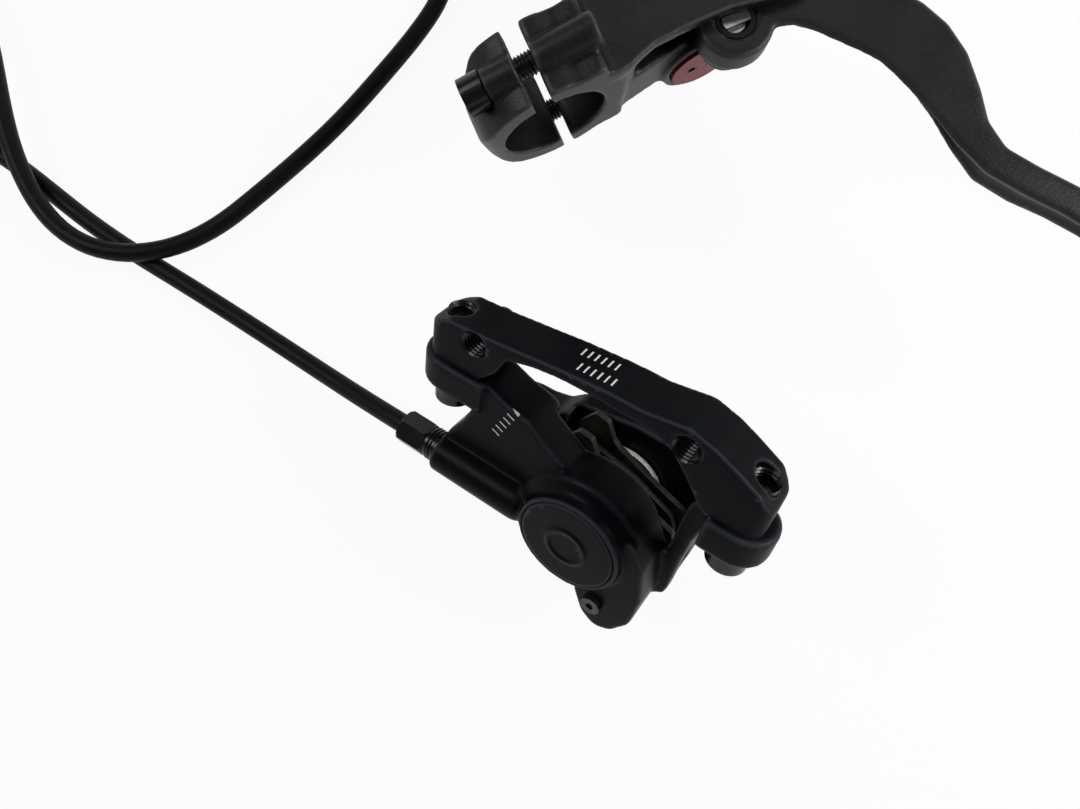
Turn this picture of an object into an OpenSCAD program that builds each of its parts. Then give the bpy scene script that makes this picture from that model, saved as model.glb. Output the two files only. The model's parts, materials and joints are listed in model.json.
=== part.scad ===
// Hydraulic disc brake for a bicycle: lever with its master cylinder, hose,
// two-piston caliper and the bracket that carries the caliper on a fork.
// Millimetres. X points forward, Y inboard along the handlebar, Z up.
// The origin is the centre of the handlebar clamp.

/* [Handlebar clamp] */
// Diameter of the handlebar
bar_d = 22.2; // [20:0.1:24]
// Width of the clamp along the bar
clamp_w = 18; // [14:0.5:22]
// Wall of the clamp round the bar
clamp_wall = 5; // [4:0.5:7]
// Turn of the clamp's parting plane about the bar
clamp_turn = 12.5; // [0:0.5:25]
// How far the clamp's cap stands open
clamp_open = 2.6; // [1.5:0.1:6]
// Diameter of the clamp bolts
clamp_bolt_d = 5; // [4:0.5:6]

/* [Lever body] */
// Height of the middle of the lever plate
plate_z = 11.8; // [11:0.1:14]
// Thickness of the lever plate
plate_t = 3.4; // [2.5:0.1:5]
// Wall of the master cylinder
cylinder_wall = 3.6; // [3:0.1:5]
// Bore of the master cylinder
master_bore = 12; // [10:0.5:13]
// Distance of the master cylinder from the handlebar
cylinder_x = 37.8; // [35:0.1:41]
// Height of the master cylinder
cylinder_z = -7; // [-9:0.5:-6]
// Length of the master cylinder
cylinder_l = 50; // [46:1:60]
// Depth of the fluid reservoir
reservoir_h = 21.8; // [14:0.2:24]
// Wall of the reservoir
reservoir_wall = 2; // [1.5:0.1:3]

/* [Lever blade] */
// Distance of the pivot from the handlebar
pivot_x = 42.8; // [41:0.1:45]
// Distance of the pivot along the bar from the clamp's centre
pivot_y = -6.7; // [-8:0.1:-5]
// Diameter of the pivot pin
pivot_d = 5; // [4:0.5:6]
// Height of the lever blade at its pivot
lobe_h = 6.6; // [5:0.1:8]
// Width of the blade at the finger rest
blade_w = 7.8; // [7:0.1:11]
// Diameter of the ball at the blade's end
ball_d = 12; // [10:0.5:14]

/* [Hose] */
// Outer diameter of the hose
hose_d = 5; // [4.5:0.1:5.5]
// Width across the flats of the compression nuts
nut_flats = 8; // [8:0.5:10]
// Mean radius of the coil of spare hose
coil_r = 27.5; // [25:0.5:35]
// Turns of the coil
coil_turns = 2; // [1:1:4]

/* [Caliper] */
// Spacing of the two mounting bolts
post_pitch = 74; // [74:0.5:80]
// Diameter of the mounting bolts
mount_bolt_d = 6; // [5:0.5:6]
// Thickness of the mounting ears
ear_t = 8.5; // [7:0.5:11]
// Half width of the mounting ears
ear_r = 7.5; // [7:0.5:8]
// Diameter of the caliper pistons
piston_d = 22; // [20:0.5:23]
// Distance of the pistons below the ears
piston_v = 27; // [26:0.5:30]
// Offset of the pistons from the middle of the ears
piston_u = 5.5; // [3:0.5:8]
// Radius of the piston housings
housing_r = 17; // [16:0.5:19]
// Height of the near housing above the bolts' plane
housing_top = 12; // [11:0.5:14]
// Offset of the rotor's plane from the bolts' plane
rotor_m = -8.2; // [-9:0.1:-8]
// Thickness of the rotor
rotor_t = 1.8; // [1.6:0.1:2.3]
// Clearance between a pad and the rotor
pad_gap = 0.5; // [0.5:0.1:1]
// Width of the slot that the rotor runs in
slot_w = 5; // [4:0.5:6]
// Thickness of a pad's backing plate
plate_pad_t = 1.6; // [1.5:0.1:2.2]
// Thickness of a pad's friction lining
lining_t = 1.5; // [1.5:0.1:3]

/* [Bracket] */
// Thickness of the bracket
bracket_t = 12; // [11:0.5:14]
// Height of the bracket at its middle
bracket_h = 15; // [13:0.5:17]
// Spacing of the bracket's holes for the fork
fork_pitch = 51; // [50:0.5:52]

/* [Hidden] */
$fn = 48;

// Clearance of a running fit, on the radius
running = 0.05;
// Gap left between pieces that move past each other
gap = 0.35;

// Clamp
bar_r = bar_d / 2;
clamp_r = bar_r + clamp_wall;
body_face = 0.6;
cap_top_face = -1;
cap_low_face = 0.8;
clamp_bolt_z = bar_r + clamp_bolt_d / 2 + 0.9;
band_top = clamp_r - 1.8;
boss_r_clamp = clamp_bolt_d / 2 + 1.3;
clamp_head_r = clamp_bolt_d * 0.85;
clamp_head_x = -clamp_r + 7.4;
// Shift of the lever's other features from the bore's centre
lever_at = [-3.2, 1.6, 0];

// Master cylinder and reservoir
master_r = master_bore / 2;
cylinder_r = master_r + cylinder_wall;
cylinder_y = -8.3;
plug_r = master_r + 1.5;
plug_l = 3.8;
cylinder_end = cylinder_y + cylinder_l;
port_l = 11;
bore_end = cylinder_end - port_l - 1;
piston_y = 0.1;
piston_l = 17;
reservoir_w = 30;
reservoir_x = cylinder_x - 2;
reservoir_y0 = lever_at[1] + cylinder_y + 14.5;
reservoir_y1 = lever_at[1] + cylinder_end - 4;
reservoir_z1 = cylinder_z - cylinder_r + 1;
reservoir_z0 = reservoir_z1 - reservoir_h;
cover_t = 3.6;
screw_inset = 3.6;

// Blade
housing_z = cylinder_z + cylinder_r;
lobe_z = housing_z + gap;
lobe_top = lobe_z + lobe_h;
lobe_r = 8.8;
plate_z0 = plate_z - plate_t / 2;
bush_r = 4.4;
pin_depth = 2;
pin_r = pivot_d / 2;
finger_r = 1.8;
finger = [-6.5, 6.3];
// Middle of the blade, its width and its height at each station
blade_path = [[3.5, 1.2, 13.5, lobe_h - 0.3], [8, 1.4, 13.4, lobe_h - 0.4], [14.6, -0.4, 13.8, 6],
    [19.8, -4.2, 14.8, 5.8], [24.6, -8.4, 16.4, 5.6], [29, -12.7, 17.2, 5.6], [32.4, -17, 17.6, 5.6],
    [34.7, -22.1, 17.6, 5.6], [36.1, -28.3, 16.4, 5.8], [36.8, -36.4, 13, 6.2],
    [37.1, -43.7, 9.6, 7.4], [39.3, -51.3, blade_w + 0.2, 9.6], [44.6, -58.7, blade_w, 10.2], [50, -65.4, blade_w, 9.4], [55, -72.5, blade_w + 0.2, 8.8],
    [59.4, -80, blade_w + 0.6, 8.4], [62.6, -88, blade_w - 1.5, 8.2]];

// Hose
hose_r = hose_d / 2;
floor_z = -42;
nut_r = nut_flats / sqrt(3);
port_r = 4;
nut_l = 8;
upper_points = [[37.8, 44.6, -7], [37.8, 51.6, -7], [37.8, 58.6, -7.5], [35.1, 68.6, -10.5],
    [27.8, 75.9, -15.5], [17.8, 78.6, -21], [7.8, 75.9, -26.5], [0.5, 68.6, -32],
    [-2.6, 61.6, -35.4], [-6.4, 54.2, -38.2], [-12.1, 49.3, -39.2], [-22.1, 43.4, -39.4],
    [-32.2, 38.3, -39.4], [-47.2, 30.8, -39.4], [-63.2, 24.6, -39], [-78.1, 19.4, -37.6],
    [-94, 15.3, -35.4], [-105.3, 15.7, -34.2], [-114.2, 17.6, -34], [-121.2, 23.6, -34],
    [-127.3, 32.6, -34], [-129.9, 42.9, -34], [-131, 54, -33.4], [-129.3, 65.3, -32],
    [-129.6, 75.6, -30.8], [-129.4, 82.6, -29.8]];
lower_points = [[-59.4, -61.6, -21.6], [-63.2, -56.1, -23.6], [-65.4, -53, -24.7],
    [-73.2, -43.4, -32], [-79.2, -33.4, -36], [-87.2, -22.4, -38], [-95.2, -9.4, -39.5],
    [-102.2, -0.4, -39.5], [-107.2, 8.6, -39.5], [-116.2, 19.6, -39.5], [-123.2, 29.6, -39.5],
    [-128.2, 40.6, -39.5], [-133.2, 51.6, -39.5], [-139.2, 61.6, -39.5], [-144.2, 67.2, -39.5],
    [-149.2, 71, -39.5]];
coil_at = [-155.2, 103.6];

// Caliper
caliper_at = [-21.7, -75.9, 6.7];
caliper_turn = [51, -16.5, -55];
post = post_pitch / 2;
slot_near = rotor_m + slot_w / 2;
slot_far = rotor_m - slot_w / 2;
rotor_r = 80;
slot_end = -41;
slot_r = rotor_r + 1.5;
piston_r = piston_d / 2;
lining_face = rotor_t / 2 + pad_gap;
plate_face = lining_face + lining_t;
pad_back = plate_face + plate_pad_t;
arm_top = 6;
web_top = -0.5;
leg_top = 9;
near_wall = rotor_m + pad_back + 0.3;
far_wall = rotor_m - pad_back - 2;
slot_play = 1.6;
cap_r = piston_r + 1.2;
cap_t = 3;
far_end = rotor_m - 11.8;
hose_v = -28;
hose_m = 6.5;
boss_u = -35;
boss_r = 5.3;
boss_drop = 0.6;
nut_u = -38.3;
pin_at = [15, -45];
pad_pin_r = 1.5;
bolt_r = mount_bolt_d / 2;
bolt_head_r = bolt_r + 1.75;
bolt_head_h = 5.4;
washer_t = 1;

// Points of a polygon whose corners are rounded to radius r, n points a corner
function unit(p) = p / norm(p);
function corner(a, b, c, r, n) =
    let (u = unit(a - b), w = unit(c - b),
         half = acos(max(-1, min(1, u * w))) / 2,
         d = min(r / tan(half), norm(a - b) * 0.48, norm(c - b) * 0.48),
         rr = d * tan(half),
         m = b + unit(u + w) * rr / sin(half),
         s = b + u * d - m, e = b + w * d - m)
    [for (i = [0 : n]) m + rr * unit(s * (1 - i / n) + e * (i / n))];
function rounded(p, r, n = 5) =
    [for (i = [0 : len(p) - 1])
        each corner(p[(i + len(p) - 1) % len(p)], p[i], p[(i + 1) % len(p)], r, n)];

// A tube swept along a list of points, closed at both ends
function along(p, i) = unit(p[min(i + 1, len(p) - 1)] - p[max(i - 1, 0)]);
function side(t, up) = unit(cross(t, up));
module tube(p, r, sides = 10, up = [0, 0, 1]) {
    points = [for (i = [0 : len(p) - 1], k = [0 : sides - 1])
        let (t = along(p, i), a = side(t, up), b = cross(t, a), w = 360 * k / sides)
        p[i] + r * (cos(w) * a + sin(w) * b)];
    ring = [for (k = [0 : sides - 1]) k];
    last = (len(p) - 1) * sides;
    polyhedron(points, [ring, [for (k = ring) last + sides - 1 - k],
        for (i = [0 : len(p) - 2], k = ring)
            let (n = (k + 1) % sides, a = i * sides, b = a + sides)
            each [[a + k, b + k, b + n], [a + k, b + n, a + n]]]);
}

// Cylinders along X and Y, from the given start
module rod_x(x, r, l) translate([x, 0, 0]) rotate([0, 90, 0]) cylinder(r = r, h = l);
module rod_y(y, r, l) translate([0, y, 0]) rotate([-90, 0, 0]) cylinder(r = r, h = l);

// Frames of the clamp, the master cylinder, the pivot and the caliper
module clamp_frame() rotate([0, -clamp_turn, 0]) children();
module master_frame() translate([cylinder_x, lever_at[1], cylinder_z]) children();
module pivot_frame() translate([pivot_x, pivot_y, 0]) children();
module caliper_frame() translate(caliper_at) rotate(caliper_turn) children();

// The clamp's ring and the flat tabs its bolts pass through, seen along the bar
module clamp_shape(far_x, near_x) {
    circle(r = clamp_r);
    for (s = [-1, 1])
        polygon(rounded([[far_x, s * bar_r * 0.5], [far_x, s * band_top],
            [near_x, s * band_top], [near_x, s * bar_r * 0.5]], 1.6));
}

// Ridges round the clamp's bolts
module clamp_ridges(x0, x1) for (s = [-1, 1]) translate([0, 0, s * clamp_bolt_z]) rod_x(x0, boss_r_clamp, x1 - x0);

module clamp_half(low, high) {
    rotate([90, 0, 0]) translate([0, 0, -clamp_w / 2]) linear_extrude(clamp_w)
        intersection() {
            children();
            translate([low, -50]) square([high - low, 100]);
        }
}

module lever_plate() translate([lever_at[0], lever_at[1], plate_z0]) linear_extrude(plate_t)
    polygon(rounded([[10, -10.4], [17, -10.8], [20, -10.3], [22.6, -9.2], [27, -7.8], [37.5, -7.3], [45, -7.4],
        [57, -9.4], [64, -9], [68, -2], [62, 9], [48, 13], [26, 13], [10, 8]], 3));

module lever_web() translate([lever_at[0], lever_at[1], cylinder_z]) {
    // Inboard wall between the plate and the cylinder
    linear_extrude(plate_z - cylinder_z)
        polygon(rounded([[8, -2], [20, 4], [36, 4.5], [54, 6.5], [58, 9.5], [46, 12.5], [14, 12.5]], 2));
    // Outboard arm from the clamp to the cylinder
    translate([0, 0, -3]) linear_extrude(cylinder_r + 3)
        polygon(rounded([[6, -10.5], [15, -10.3], [21, -9.2], [27, -8], [33, -6.9], [42, -4.6], [42, 12], [6, 9]], 2));
    // Root of the plate, where the blade's slot ends
    linear_extrude(plate_z - cylinder_z)
        polygon(rounded([[6, -10.5], [16, -10.6], [19.5, -10], [23, -8], [22, 0], [26, 12], [6, 9]], 2));
}

module reservoir() {
    translate([reservoir_x, (reservoir_y0 + reservoir_y1) / 2, reservoir_z0])
        linear_extrude(reservoir_z1 - reservoir_z0 + 3)
        polygon(rounded([for (s = [[-1, -1], [1, -1], [1, 1], [-1, 1]])
            [s[0] * reservoir_w / 2, s[1] * (reservoir_y1 - reservoir_y0) / 2]], 6));
}

module lever_body() color([0.16, 0.17, 0.17]) difference() {
    union() {
        clamp_frame() {
            clamp_half(body_face, 30) clamp_shape(clamp_r - 2, 0);
            clamp_ridges(body_face, 15.5);
        }
        lever_plate();
        lever_web();
        master_frame() rod_y(cylinder_y, cylinder_r, cylinder_l);
        pivot_frame() translate([0, 0, housing_z - 6]) cylinder(r = 6, h = 6);
        reservoir();
    }
    rod_y(-50, bar_r, 100);
    rod_y(clamp_w / 2 + running, bar_r + 1, 40);
    clamp_frame() for (s = [-1, 1])
        translate([0, 0, s * clamp_bolt_z]) rod_x(-5, clamp_bolt_d / 2, 19);
    master_frame() {
        rod_y(cylinder_y - 1, plug_r + 0.02, plug_l + 1.01);
        rod_y(cylinder_y, master_r, bore_end - cylinder_y);
        rod_y(bore_end - 0.1, 1, 2);
        rod_y(bore_end + 1, port_r, 20);
    }
    // Window for the blade's finger
    translate([pivot_x + finger[0] - finger_r - gap, lever_at[1] + cylinder_y + plug_l, cylinder_z - 1.5])
        cube([8, 7.2, cylinder_r + 5.5]);
    pivot_frame() translate([0, 0, housing_z - pin_depth]) cylinder(r = pin_r, h = 8);
    reservoir_space();
    for (p = screw_places()) translate([p[0], p[1], reservoir_z0 - 1]) cylinder(r = 1.25, h = 8);
    translate([reservoir_x + reservoir_w / 2 - 3, (reservoir_y0 + reservoir_y1) / 2, bleed_z])
        rod_x(-1, 2, 10);
}

bleed_z = reservoir_z1 - 5;
function screw_places() = [for (s = [-1, 1], t = [0, 1])
    [reservoir_x + s * (reservoir_w / 2 - screw_inset),
     t == 0 ? reservoir_y0 + screw_inset : reservoir_y1 - screw_inset]];

// Hollow of the reservoir, with its corners kept solid for the screws
module reservoir_space() {
    x0 = reservoir_x - reservoir_w / 2;
    x1 = reservoir_x + reservoir_w / 2;
    c = screw_inset + 2.4;
    w = reservoir_wall;
    translate([0, 0, reservoir_z0 - 1]) linear_extrude(reservoir_h - 7) polygon(rounded([
        [x0 + c, reservoir_y0 + w], [x1 - c, reservoir_y0 + w], [x1 - c, reservoir_y0 + c],
        [x1 - w, reservoir_y0 + c], [x1 - w, reservoir_y1 - c], [x1 - c, reservoir_y1 - c],
        [x1 - c, reservoir_y1 - w], [x0 + c, reservoir_y1 - w], [x0 + c, reservoir_y1 - c],
        [x0 + w, reservoir_y1 - c], [x0 + w, reservoir_y0 + c], [x0 + c, reservoir_y0 + c]], 1));
}

module clamp_cap() color([0.16, 0.17, 0.17]) clamp_frame() translate([-clamp_open, 0, 0])
    difference() {
        union() {
            intersection() {
                translate([0, 0, -40]) linear_extrude(80) polygon(rounded([[-clamp_r, -clamp_w / 2],
                    [20, -clamp_w / 2], [20, clamp_w / 2], [-clamp_r * 0.55, clamp_w / 2],
                    [-clamp_r, clamp_w / 5]], 5));
                clamp_half(-30, cap_low_face) difference() {
                    clamp_shape(-clamp_r * 0.5, 8);
                    translate([cap_top_face, 0]) square([30, 30]);
                }
            }
            clamp_ridges(clamp_head_x, cap_top_face);
        }
        rod_y(-50, bar_r, 100);
        translate([clamp_open, 0, 0]) rod_y(-50, bar_r, 100);
        for (s = [-1, 1]) translate([0, 0, s * clamp_bolt_z]) {
            rod_x(-30, clamp_bolt_d / 2 + 0.2, 40);
            rod_x(-40, clamp_head_r + 0.3, 40 + clamp_head_x);
        }
    }

module clamp_bolts() color([0.12, 0.12, 0.13]) clamp_frame() translate([-clamp_open, 0, 0])
    for (s = [-1, 1]) translate([0, 0, s * clamp_bolt_z]) difference() {
        union() {
            rod_x(clamp_head_x, clamp_bolt_d / 2 - 0.1, 20);
            rod_x(clamp_head_x - clamp_bolt_d, clamp_head_r, clamp_bolt_d);
        }
        translate([clamp_head_x - clamp_bolt_d - 1, 0, 0]) rotate([0, 90, 0])
            cylinder(r = 2.3, h = 4, $fn = 6);
    }

// Section of the blade at one station: crowned top, hollow back
function blade_ring(i) =
    let (s = blade_path[i],
         a = blade_path[max(i - 1, 0)], b = blade_path[min(i + 1, len(blade_path) - 1)],
         t = unit([b[0] - a[0], b[1] - a[1]]), n = [-t[1], t[0]],
         w = s[2] / 2, top = lobe_top - 0.1, h = s[3], low = top - h)
    [for (q = [[-w, top - 0.6], [-w + 0.7, top], [w - 1.8, top], [w - 0.5, top - 0.6], [w, top - h * 0.3],
               [w, low + h * 0.3], [w - 0.5, low + 0.6], [w - 1.8, low], [-w * 0.45, low],
               [-w * 0.6, low + h * 0.08], [-w * 0.6, low + h * 0.2], [-w * 0.45, low + h * 0.35],
               [-w * 0.45, top - h * 0.35], [-w * 0.8, top - h * 0.3]])
        [s[0] + n[0] * q[0], s[1] + n[1] * q[0], q[1]]];

module blade_beam() {
    rings = [for (i = [0 : len(blade_path) - 1]) blade_ring(i)];
    k = len(rings[0]);
    last = (len(rings) - 1) * k;
    polyhedron([for (r = rings) each r], [[for (j = [0 : k - 1]) k - 1 - j],
        [for (j = [0 : k - 1]) last + j],
        for (i = [0 : len(rings) - 2], j = [0 : k - 1])
            let (n = (j + 1) % k) [i * k + j, i * k + n, (i + 1) * k + n, (i + 1) * k + j]]);
}

module lever_blade() color([0.16, 0.17, 0.17]) pivot_frame() difference() {
    union() {
        translate([0, 0, lobe_z]) cylinder(r = lobe_r, h = lobe_h);
        blade_beam();
        tip = blade_path[len(blade_path) - 1];
        translate([tip[0] + 0.4, tip[1] - 0.9, lobe_top - 0.1 - tip[3] / 2]) sphere(r = ball_d / 2);
        // Finger that pushes the master piston
        translate([finger[0], finger[1], cylinder_z - 1]) cylinder(r = finger_r, h = lobe_z - cylinder_z + 2);
        translate([0, 0, lobe_z]) linear_extrude(3) polygon(rounded([[-9.6, 4.6], [-4, 0.6], [2, 4], [-2.6, 9.4], [-8, 9.6]], 1.5));
    }
    translate([0, 0, lobe_z - 1]) cylinder(r = pin_r + running, h = 20);
    translate([0, 0, lobe_top - 1.6]) cylinder(r = bush_r + running, h = 5);
}

module pivot_pin() color([0.62, 0.62, 0.63]) pivot_frame() {
    translate([0, 0, housing_z - pin_depth]) cylinder(r = pin_r, h = lobe_top - 1.6 - housing_z + pin_depth);
    translate([0, 0, lobe_top - 1.6]) intersection() {
        cylinder(r = pin_r + 0.7, h = 1.5);
        translate([-4, -1.3, 0]) cube([8, 2.6, 3]);
    }
}

module pivot_bush() color([0.1, 0.1, 0.11]) pivot_frame()
    translate([0, 0, lobe_top - 1.55]) difference() {
        cylinder(r = bush_r, h = 1.2);
        translate([0, 0, -1]) cylinder(r = pin_r + 0.75, h = 4);
    }

module cylinder_plug() color([0.75, 0.08, 0.12]) master_frame() difference() {
    union() {
        rod_y(cylinder_y - 0.6, plug_r, 2.6);
        rod_y(cylinder_y, plug_r - 1, plug_l - 0.1);
    }
    for (s = [-1, 1]) translate([s * 2.6, 0, 0]) rod_y(cylinder_y - 2, 0.9, 3.4);
}

module plug_seal() color([0.08, 0.08, 0.08]) master_frame() rotate([-90, 0, 0])
    translate([0, 0, cylinder_y + 3.2]) rotate_extrude() translate([plug_r - 0.5, 0]) circle(r = 0.48, $fn = 24);

module master_piston() color([0.7, 0.7, 0.68]) master_frame() rotate([-90, 0, 0])
    translate([0, 0, piston_y]) rotate_extrude() polygon([[0, 0], [3.4, 0], [4, 0.6], [4, 2],
        [master_r - running, 2], [master_r - running, 3.2], [master_r - 1.6, 3.2], [master_r - 1.6, 5.2],
        [master_r - running, 5.2], [master_r - running, 6.4], [4, 6.4], [4, 12.6],
        [master_r - running, 12.6], [master_r - running, 13.8], [master_r - 1.6, 13.8],
        [master_r - 1.6, 15.8], [master_r - running, 15.8], [master_r - running, piston_l],
        [2.6, piston_l], [2.6, piston_l + 3], [0, piston_l + 3]]);

module piston_seals() color([0.08, 0.08, 0.08]) master_frame() rotate([-90, 0, 0])
    for (y = [4.2, 14.8]) translate([0, 0, piston_y + y]) rotate_extrude()
        polygon([[master_r - 1.6, -0.9], [master_r - 0.3, -0.95], [master_r - 0.03, 0.4],
            [master_r - 0.5, 0.9], [master_r - 1.6, 0.5]]);

// Return spring: a helix of wire between the piston and the end of the bore
spring_r = 4.2;
spring_wire = 0.9;
spring_turns = 4;
spring_y0 = piston_y + piston_l + spring_wire / 2 + 0.1;
spring_y1 = bore_end - spring_wire / 2 - 0.1;
module return_spring() color([0.7, 0.7, 0.72]) master_frame()
    tube([for (i = [0 : spring_turns * 12])
        let (a = i * 30, f = i / (spring_turns * 12))
        [spring_r * cos(a), spring_y0 + (spring_y1 - spring_y0) * f, spring_r * sin(a)]],
        spring_wire / 2, 6, [0, 1, 0]);

module cover_outline(grow = 0) {
    translate([reservoir_x, (reservoir_y0 + reservoir_y1) / 2])
        polygon(rounded([for (s = [[-1, -1], [1, -1], [1, 1], [-1, 1]])
            [s[0] * (reservoir_w / 2 + grow), s[1] * ((reservoir_y1 - reservoir_y0) / 2 + grow)]], 6));
}

module screw_holes(r) for (p = screw_places()) translate([p[0], p[1], -100]) cylinder(r = r, h = 200);

module reservoir_diaphragm() color([0.1, 0.1, 0.1]) difference() {
    translate([0, 0, reservoir_z0 - 1]) linear_extrude(1) cover_outline(-0.2);
    screw_holes(1.6);
}

module reservoir_cover() color([0.13, 0.13, 0.14]) difference() {
    translate([0, 0, reservoir_z0 - 1 - cover_t]) linear_extrude(cover_t) cover_outline();
    translate([0, 0, reservoir_z0 - 3]) linear_extrude(3) cover_outline(-7);
    screw_holes(1.6);
    for (p = screw_places()) translate([p[0], p[1], reservoir_z0 - 10]) cylinder(r = 3, h = 7.4);
}

module cover_screws() color([0.2, 0.2, 0.21]) for (p = screw_places())
    translate([p[0], p[1], reservoir_z0 - 4.4]) difference() {
        union() {
            cylinder(r = 2.7, h = 1.8);
            cylinder(r = 1.2, h = 10);
        }
        translate([0, 0, -1]) cylinder(r = 1.3, h = 2.2, $fn = 6);
    }

module lever_bleed_screw() color([0.25, 0.25, 0.26])
    translate([reservoir_x + reservoir_w / 2, (reservoir_y0 + reservoir_y1) / 2, bleed_z]) difference() {
        union() {
            rod_x(-3.8, 1.95, 4);
            rod_x(0.05, 3.2, 2);
        }
        translate([0.8, 0, 0]) rotate([0, 90, 0]) cylinder(r = 1.4, h = 3, $fn = 6);
    }

// Compression nut: threaded shank, hexagon, and the hose's hole, along +X
module hose_nut(shank) difference() {
    union() {
        rod_x(-shank, port_r - 0.1, shank + 0.5);
        intersection() {
            rotate([0, 90, 0]) cylinder(r = nut_r, h = nut_l, $fn = 6);
            rotate([0, 90, 0]) rotate_extrude() polygon([[0, 0], [nut_r - 0.5, 0], [nut_r + 0.1, 1],
                [nut_r + 0.1, nut_l - 1], [nut_r - 0.5, nut_l], [0, nut_l]]);
        }
    }
    rod_x(-50, hose_r + 0.05, 100);
}

module olive() rotate([0, 90, 0]) rotate_extrude()
    polygon([[1, 0], [1.6, 0], [port_r - 0.4, 1.2], [port_r - 0.4, 2.2], [2.6, 3], [1, 3]]);

module lever_hose_nut() color([0.08, 0.08, 0.09]) master_frame()
    translate([0, cylinder_end + 0.8, 0]) rotate([0, 0, 90]) hose_nut(6);
module lever_hose_olive() color([0.72, 0.58, 0.3]) master_frame()
    translate([0, bore_end + 1.2, 0]) rotate([0, 0, 90]) olive();

module hose_upper_run() color([0.05, 0.05, 0.055]) tube(upper_points, hose_r);
module hose_lower_run() color([0.05, 0.05, 0.055]) tube(lower_points, hose_r);
module hose_coil() color([0.05, 0.05, 0.055])
    translate([coil_at[0], coil_at[1], floor_z]) rotate_extrude()
        translate([coil_r - hose_r, 0]) polygon(rounded([[0, 0], [hose_d, 0],
            [hose_d, (coil_turns + 1) * hose_d], [0, (coil_turns + 1) * hose_d]], hose_r * 0.98, 5));

module caliper_hose_nut() color([0.08, 0.08, 0.09]) caliper_frame()
    translate([nut_u, hose_v, hose_m]) rotate([0, 0, 180]) hose_nut(boss_u + 5.2 - nut_u);
module caliper_hose_olive() color([0.72, 0.58, 0.3]) caliper_frame()
    translate([boss_u + 10, hose_v, hose_m]) rotate([0, 0, 180]) olive();

// Ear with its bolt hole, standing along V at one end and reaching inwards
module ear(s, reach) translate([s * post, 0, 0]) rotate([90, 0, 0]) linear_extrude(ear_t)
    polygon(concat([for (a = [90 : 15 : 270]) [s * -ear_r * cos(a), ear_r * sin(a)]],
        [[s * -reach, -ear_r], [s * -reach, ear_r]]));

module near_housing() translate([piston_u, -piston_v, slot_near]) rotate_extrude()
    polygon([[0, 0], [housing_r, 0], [housing_r, housing_top - slot_near - 5.5],
        [housing_r - 0.4, housing_top - slot_near - 4.6], [housing_r - 1.2, housing_top - slot_near - 4.2],
        [cap_r + 1.8, housing_top - slot_near - 3.2], [cap_r + 1.2, housing_top - slot_near - 2],
        [cap_r + 1.2, housing_top - slot_near - 0.4], [cap_r + 0.8, housing_top - slot_near],
        [0, housing_top - slot_near]]);

module slab(z0, z1) translate([0, 0, z0]) linear_extrude(z1 - z0) children();

// Slot that lets the caliper move sideways on one of its bolts
module bolt_slot(s) translate([s * post, -ear_t - 6, 0]) rotate([-90, 0, 0]) {
    for (y = [-slot_play, slot_play]) translate([0, y, 0]) cylinder(r = bolt_r + 0.3, h = ear_t + 8);
    translate([-bolt_r - 0.3, -slot_play, 0]) cube([mount_bolt_d + 0.6, 2 * slot_play, ear_t + 8]);
}

// Half of the body on the bracket's side of the rotor, with both ears
module near_half() {
    near_housing();
    ear(-1, 12);
    ear(1, 6.5);
    slab(slot_near, arm_top) polygon(rounded([[12 - post, 0], [9 - post, 0], [9.6 - post, -8.3],
        [-30.4, -15.5], [-34, -21.6], [boss_u, -25], [boss_u, -33], [-12, -36], [4, -20], [0, -12],
        [-8, -7], [-13, -3.6], [-19.4, -2.2]], 1.5));
    translate([0, hose_v - boss_drop, hose_m]) rod_x(boss_u, boss_r, 24);
    translate([boss_u + 24, hose_v - boss_drop, hose_m]) sphere(r = boss_r);
    // Web from the leg to the ear on the right
    slab(slot_near, web_top) polygon(rounded([[post - 9.4, -1.6], [post - 5, -0.6], [post - 5, -ear_t],
        [30, -12.5], [29, -18], [28.6, -26], [28.2, -40], [23, -42], [24.8, -20], [25.2, -8]], 1.5));
    slab(slot_near, leg_top) polygon(rounded([[12, -20], [19, -17], [23.6, -24], [25.6, -35],
        [25, -45], [21.4, -51.6], [17, -54], [12.6, -51], [9, -44]], 3));
}

// Half of the body beyond the rotor
module far_half() {
    slab(far_end, slot_far) polygon(far_outline);
}
far_outline = rounded([[-28, -20], [-26, -17.2], [-19.6, -16.8], [-15, -15.5], [-10.5, -11.4],
    [-3, -10.2], [5, -8.6], [15, -8.6], [23, -12], [27, -20], [28.3, -36], [27, -46], [20, -53],
    [8, -51.5], [-4, -47], [-12, -41.5], [-24, -31], [-28, -28]], 2.5);

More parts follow.
